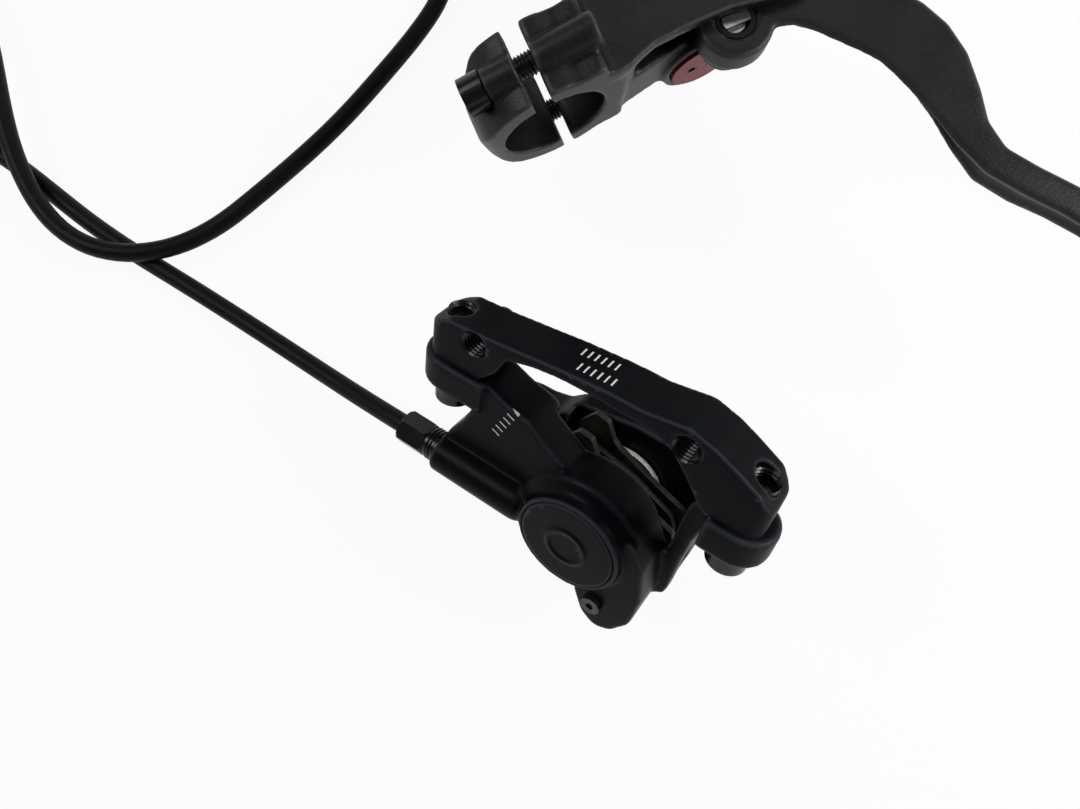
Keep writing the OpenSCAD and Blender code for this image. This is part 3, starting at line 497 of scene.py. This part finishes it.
# %% [markdown]
# Caliper, bracket and cap are forged and anodised nearly black with a blue
# cast, smoother than the lever, with a broad soft shine. The bracket and the
# arm carry white etched marks. The photograph has lettering there, which isn't
# copied: plain graduation lines take its place, as a mask in the paint.

# %% Caliper paint
def caliper_paint(name, etched=None):
    """etched gives the etched marks' mask, from the finish itself."""
    f = Finish(name, Specular_IOR_Level=0.06)
    patches = f.noise(90, 3)
    fine = f.noise(1500, 2, rough=0.55)
    base = f.mix(patches.between(0.3, 0.7), (0.0012, 0.0017, 0.0028), (0.0024, 0.0032, 0.0046))
    # painted shade in the creases and painted highlights on the convex edges
    base = f.paint_edge_light_crease_shade(base, (0.0005, 0.0006, 0.0008), (0.034, 0.038, 0.045), 0.535, 0.9)
    if etched:
        base = f.mix(etched(f), base, (0.72, 0.72, 0.70))
    f.set("Base Color", base)
    f.set("Roughness", 0.30 + patches * 0.12 + fine * 0.05)
    f.bump(fine * 0.5 + f.noise(330, 2) * 0.6, 0.00007, 0.6)
    return f.material

def bracket_marks(f):
    """Two rows of graduation lines on the bracket's top face."""
    long, wide, pitch, thick = 2.4, 9.6, 1.6, 0.4
    top_from = 14.0
    u, v, m = (f.along(axis, 0.0) for axis in range(3))
    first = f.marks(m - 2.4, u + 1.4, long, wide, pitch, thick)
    second = f.marks(m + 2.2, u + 3.2, long, wide, pitch, thick)
    return ((first + second) * (1 - v.below(top_from))).clamp()

def arm_marks(f):
    """One short row of lines on the arm's near face, leaning with the arm."""
    long, wide, pitch, thick = 2.2, 13.0, 2.0, 0.42
    lean_cos, lean_sin = 0.914, 0.405
    near_from = 5.2
    u, v, m = f.along(0, -18.5), f.along(1, -7.5), f.along(2, 0.0)
    across = u * lean_cos - v * lean_sin
    along = u * lean_sin + v * lean_cos
    return (f.marks(across, along, long, wide, pitch, thick) * (1 - m.below(near_from))).clamp()

finishes["caliper_paint"] = caliper_paint("caliper_black")
print("caliper paint has", len(finishes["caliper_paint"].node_tree.nodes), "nodes")

# %% [markdown]
# The small parts are simpler. Bolts are blackened steel, springs and pins bare
# steel, the hose a nylon jacket. Two functions with a few values each are
# enough, since all metals vary alike and so do all rubbers.

# %% Metals and rubbers
def metal(name, dark, light, rough, metallic=1.0):
    """Metal whose colour and shine vary a little, with fine tool marks."""
    tool_scale, relief = 700, 0.000012
    f = Finish(name, Metallic=metallic, Specular_IOR_Level=0.3)
    f.set("Base Color", f.mix(f.noise(tool_scale, 3).between(0.3, 0.7), dark, light))
    f.set("Roughness", rough + f.noise(tool_scale * 0.4, 2) * 0.14 - 0.07)
    f.bump(f.noise(tool_scale * 3, 2), relief, 0.5)
    return f.material

def soft_black(name, tone, rough, grain=1800):
    """Rubber or plastic: nearly black, an even satin with a fine grain."""
    relief = 0.00004
    f = Finish(name, Specular_IOR_Level=0.1)
    shade = f.noise(260, 3).between(0.3, 0.7)
    f.set("Base Color", f.mix(shade, tuple(0.8 * t for t in tone), tuple(1.25 * t for t in tone)))
    f.set("Roughness", rough + shade * 0.08)
    f.bump(f.noise(grain, 2), relief, 0.5)
    return f.material

finishes.update({
    "black_steel": metal("black_steel", (0.0022, 0.0025, 0.003), (0.005, 0.0056, 0.0065), 0.26, 0.0),
    "bright_steel": metal("bright_steel", (0.24, 0.245, 0.25), (0.36, 0.365, 0.37), 0.30, 0.9),
    "spring_steel": metal("spring_steel", (0.20, 0.19, 0.15), (0.32, 0.31, 0.26), 0.35),
    "piston_metal": metal("piston_bright", (0.78, 0.78, 0.77), (0.88, 0.88, 0.87), 0.22, 0.35),
    "olive_brass": metal("olive_brass", (0.45, 0.30, 0.11), (0.58, 0.42, 0.18), 0.28),
    # darker steel: painted shade for the pins that sit in a dark hole of the caliper
    "pin_steel": metal("pin_steel", (0.030, 0.031, 0.033), (0.075, 0.076, 0.078), 0.35, 0.8),
    "black_plastic": soft_black("black_plastic", (0.008, 0.008, 0.009), 0.5),
    "seal_rubber": soft_black("seal_rubber", (0.007, 0.007, 0.007), 0.6),
    "hose_black": soft_black("hose_black", (0.0030, 0.0036, 0.0044), 0.42, 900),
})
print("finishes so far", len(finishes))

# %% [markdown]
# The master cylinder's plug is anodised red and has two short slots for a pin
# spanner. They are too small to cut, so a mask from two ellipses paints them
# nearly black, as painted shade for their depth, and sinks them by a bump. The
# plug's own box tells where its centre is.

# %% Red plug
def plug_red():
    """Red anodising with painted shade for a slot at either side of the plug's centre."""
    slot_off, slot_long, slot_tall = 0.0026, 0.0015, 0.0008
    f = Finish("red_anodised", Metallic=0.3, Specular_IOR_Level=0.3)
    low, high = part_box("cylinder_plug")
    x, _, z = (np.array(low) + np.array(high)) / 2
    place_x = f.add("ShaderNodeSeparateXYZ", None, {0: f.place}, "X")
    place_z = f.add("ShaderNodeSeparateXYZ", None, {0: f.place}, "Z")
    long_way = (place_x - float(x)).away_from(0.0).away_from(slot_off) / slot_long
    tall_way = (place_z - float(z)) / slot_tall
    # painted shade: the two slots are coloured nearly black
    slot = 1 - (long_way * long_way + tall_way * tall_way).between(0.8, 1.2)
    red = f.mix(f.noise(700, 3).between(0.3, 0.7), (0.16, 0.012, 0.022), (0.24, 0.022, 0.034))
    f.set("Base Color", f.mix(slot, red, (0.006, 0.002, 0.003)))
    f.set("Roughness", 0.38 + f.noise(280, 2) * 0.14)
    f.bump(1 - slot, 0.0004, 0.8)
    print("plug centre", round(float(x), 4), round(float(z), 4))
    return f.material

finishes["red_anodised"] = plug_red()

# %% [markdown]
# A pad is a zinc-plated steel plate with a sintered lining of dark and copper
# grains. The piston behind it is ground steel, coloured nearly black but for a
# painted highlight: a near-white band where its rim shows. The band follows the
# bore's own axis.

# %% Pads and piston
def pad_steel():
    """Olive-brown zinc plate on the pad's steel, blotched and a little dusty."""
    f = Finish("pad_steel", Metallic=0.2, Specular_IOR_Level=0.3)
    blotch = f.noise(420, 4, rough=0.65)
    base = f.mix(blotch.between(0.35, 0.65), (0.0065, 0.0068, 0.0045), (0.016, 0.0155, 0.0095))
    f.set("Base Color", f.mix(f.noise(1700, 3).between(0.6, 0.8), base, (0.04, 0.037, 0.027)))
    f.set("Roughness", 0.42 + blotch * 0.2)
    f.bump(blotch, 0.00008, 0.6)
    return f.material

def lining():
    """Sintered lining: dark grains with copper ones between them."""
    f = Finish("pad_lining", Metallic=0.2, Roughness=0.8)
    pick = f.noise(1300, 2).between(0.55, 0.62)
    f.set("Base Color", f.mix(pick, (0.012, 0.011, 0.010), (0.05, 0.028, 0.018)))
    f.bump(f.noise(1500, 3), 0.00012, 0.8)
    return f.material

def piston_finish():
    """Ground steel, nearly black, with a painted highlight on a band between two places along the
    bore.
    """
    f = Finish("piston_metal", Metallic=0.35)
    m = f.along(2, 0.0)
    # painted highlight: a near-white band where the rim shows, the rest nearly black
    highlight_band = m.between(-14.2, -14.0) - m.between(-12.9, -12.8)
    wave = f.noise(700, 3)
    painted_highlight = f.mix(wave.between(0.3, 0.7), (0.78, 0.78, 0.77), (0.88, 0.88, 0.87))
    f.set("Base Color", f.mix((highlight_band * 0.98).clamp(), (0.010, 0.010, 0.011), painted_highlight))
    f.set("Roughness", 0.2 + wave * 0.14)
    return f.material

finishes["pad_plate"] = pad_steel()
finishes["pad_lining"] = lining()
print("finishes", sorted(finishes))

# %% [markdown]
# The record names a material slot for every solid, so each gets its finish by
# that name. Five solids have one of their own, such as the two with marks.
# The solids are shaded flat: their facets are fine, and plane faces stay plane.

# %% Hand out the finishes
# the pad pin and the bleed screw take the darker steel, painted shade for their hole
own = {"far_piston": piston_finish(),
       "pad_pin": finishes["pin_steel"],
       "caliper_bleed_screw": finishes["pin_steel"],
       "mount_bracket": caliper_paint("bracket_black", bracket_marks),
       "caliper_body": caliper_paint("body_black", arm_marks)}
slots = {part["node"]: part["material_slot"] for part in frame["record"]["subparts"]}

def finish_of(node):
    """A node's own finish, or else that of its slot."""
    return own.get(node, finishes[slots[node]])

for name, node in nodes.items():
    node.data.materials.clear()
    node.data.materials.append(finish_of(name))
    node.data.polygons.foreach_set("use_smooth", np.full(len(node.data.polygons), False))
hose.data.materials.append(finishes["hose_black"])
print(len(nodes), "solids have a finish,", len(own), "of them their own")

# %% [markdown]
# A casting has no sharp edge: every corner is drawn round in the mould. The
# solids have the true outline with plain corners. A bevel modifier fails where
# many cuts meet, so a copy of each casting is cut into small even cells and
# its corners are relaxed. Relaxing by plain averages would shrink it, so every
# second step pushes back outwards.

# %% Soft-edged castings
def relaxed(mesh, steps, inward=0.5, back=-0.3):
    """Moves each vertex towards the mean of its neighbours by inward, then
    away by back, so that corners turn round and the size stays."""
    count = len(mesh.vertices)
    points = np.empty(count * 3)
    mesh.vertices.foreach_get("co", points)
    points = points.reshape(-1, 3)
    ends = np.empty(len(mesh.edges) * 2, np.int64)
    mesh.edges.foreach_get("vertices", ends)
    a, b = ends.reshape(-1, 2).T
    near = np.bincount(a, minlength=count) + np.bincount(b, minlength=count)
    for step in range(steps * 2):
        total = np.stack([np.bincount(a, points[b, k], count) + np.bincount(b, points[a, k], count)
                          for k in range(3)], 1)
        share = inward if step % 2 == 0 else back
        points = points + share * (total / near[:, None] - points)
    mesh.vertices.foreach_set("co", points.ravel())
    mesh.update()

def casting(node, cell, steps, turn):
    """Soft-edged copy of a CAD casting that stands for it. The cells lie along
    the columns of turn, so that a face square to them stays clean."""
    work = bmesh.new()
    work.from_mesh(nodes[node].data)
    bmesh.ops.remove_doubles(work, verts=work.verts, dist=1e-6)
    work.transform(Matrix(turn.T.tolist()).to_4x4())
    mesh = bpy.data.meshes.new(node + "_cast")
    work.to_mesh(mesh)
    work.free()
    piece = bpy.data.objects.new(node + "_cast", mesh)
    bpy.context.collection.objects.link(piece)
    cut = piece.modifiers.new("cells", "REMESH")
    cut.mode = "VOXEL"
    cut.voxel_size = cell
    cut.use_smooth_shade = True
    remeshed = piece.evaluated_get(bpy.context.evaluated_depsgraph_get())
    ready = bpy.data.meshes.new_from_object(remeshed)
    piece.modifiers.clear()
    piece.data = ready
    relaxed(ready, steps)
    ready.transform(Matrix(turn.tolist()).to_4x4())
    ready.materials.clear()
    ready.materials.append(finish_of(node))
    ready.polygons.foreach_set("use_smooth", np.full(len(ready.polygons), True))
    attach(piece, body_of_node[node])
    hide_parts(node)
    print(node, "has", len(ready.polygons), "faces from cells of", round(cell * 1000, 2), "mm")

clamp_lean = math.radians(12.5)
clamp_turn = np.array(Euler((0, -clamp_lean, 0)).to_matrix())
level = np.eye(3)

# For each casting its cells' size in metres, the steps, and the cells' turn
castings = {"lever_body": (0.0005, 16, level), "clamp_cap": (0.0003, 24, clamp_turn),
            "lever_blade": (0.0004, 30, level), "caliper_body": (0.00045, 24, caliper_turn),
            "mount_bracket": (0.0003, 24, caliper_turn), "cylinder_cap": (0.0003, 12, caliper_turn)}
for node, (cell, steps, turn) in castings.items():
    casting(node, cell, steps, turn)

# %% [markdown]
# The solids have plain shafts and holes. A thread is a thin ridge, narrow at
# its crest, wound along a helix on the shaft or inside the hole. A bump map
# would leave the outline smooth, so the ridge is a mesh of its own.

# %% Threads
def add_thread(name, start, axis, radius, depth, pitch, length, inside=False):
    """Blackened ridge on a shaft of this radius: at angle a it has gone
    a*pitch/2pi along the axis. Its crest stands out by depth, or in by depth
    when it lines a hole, and fades at both ends. Its root is sunk a little. The
    root's half width is a share of the pitch, the crest's a share of that."""
    sides, fade_angle, sunk = 28, 1.2, 0.00008
    root_share, crest_share = 0.42, 0.12
    outwards = -1 if inside else 1
    axis = np.asarray(axis, float) / np.linalg.norm(axis)
    side = np.cross(axis, [0.3, 0.2, 0.9])
    side /= np.linalg.norm(side)
    rise = np.cross(axis, side)
    a = np.arange(0, 2 * np.pi * length / pitch, 2 * np.pi / sides)
    fade = np.clip(np.minimum(a, a[-1] - a) / fade_angle, 0.02, 1)[:, None]
    out = np.cos(a)[:, None] * side + np.sin(a)[:, None] * rise
    centre = np.asarray(start) + axis * (a * pitch / (2 * np.pi))[:, None]
    root = centre + out * (radius - outwards * sunk)
    crest = centre + out * (radius + outwards * depth * fade)
    half = axis * pitch * root_share
    tip = half * crest_share
    grid = np.stack([root - half, crest - tip, crest + tip, root + half], 1)
    piece = add_piece(name, grid_mesh(name, grid), "brake", smooth=False)
    piece.data.materials.append(finishes["black_steel"])

bolt_axis = np.array([math.cos(clamp_lean), 0, math.sin(clamp_lean)])
bolt_up = np.array([-bolt_axis[2], 0, bolt_axis[0]])

# Millimetres: the bolts' distance from the bar's centre, and where the part
# of each that shows in the clamp's gap begins and how long it is
bolt_off, gap_from, gap_length = 14.5, -3.4, 3.9
for tag, s in (("upper", 1), ("lower", -1)):
    start = (bolt_up * s * bolt_off + bolt_axis * gap_from) / 1000
    add_thread("clamp_thread_" + tag, start, bolt_axis, radius=0.0024, depth=0.00036,
               pitch=0.0008, length=gap_length / 1000)

# Start, direction and length of each hole's thread, in the caliper's millimetres
holes = {"fork_low": ((-29.2, 9.4, 6.0), (0, 0, -1), 11.8),
         "fork_high": ((21.627, 13.6, 6.0), (0, 0, -1), 11.8),
         "post_left": ((-37, 11.2, 0), (0, -1, 0), 2.0),
         "post_right": ((37, 11.6, 0), (0, -1, 0), 2.4)}
for tag, (start, way, length) in holes.items():
    add_thread("thread_" + tag, from_caliper(start), caliper_turn @ np.array(way, float),
               radius=0.003, depth=0.00035, pitch=0.001, length=length / 1000, inside=True)
nut_face = from_caliper((-38.0, -28, 6.5))
add_thread("nut_thread", nut_face, caliper_turn[:, 0], radius=0.0039, depth=0.00035,
           pitch=0.0009, length=0.0026)

# %% [markdown]
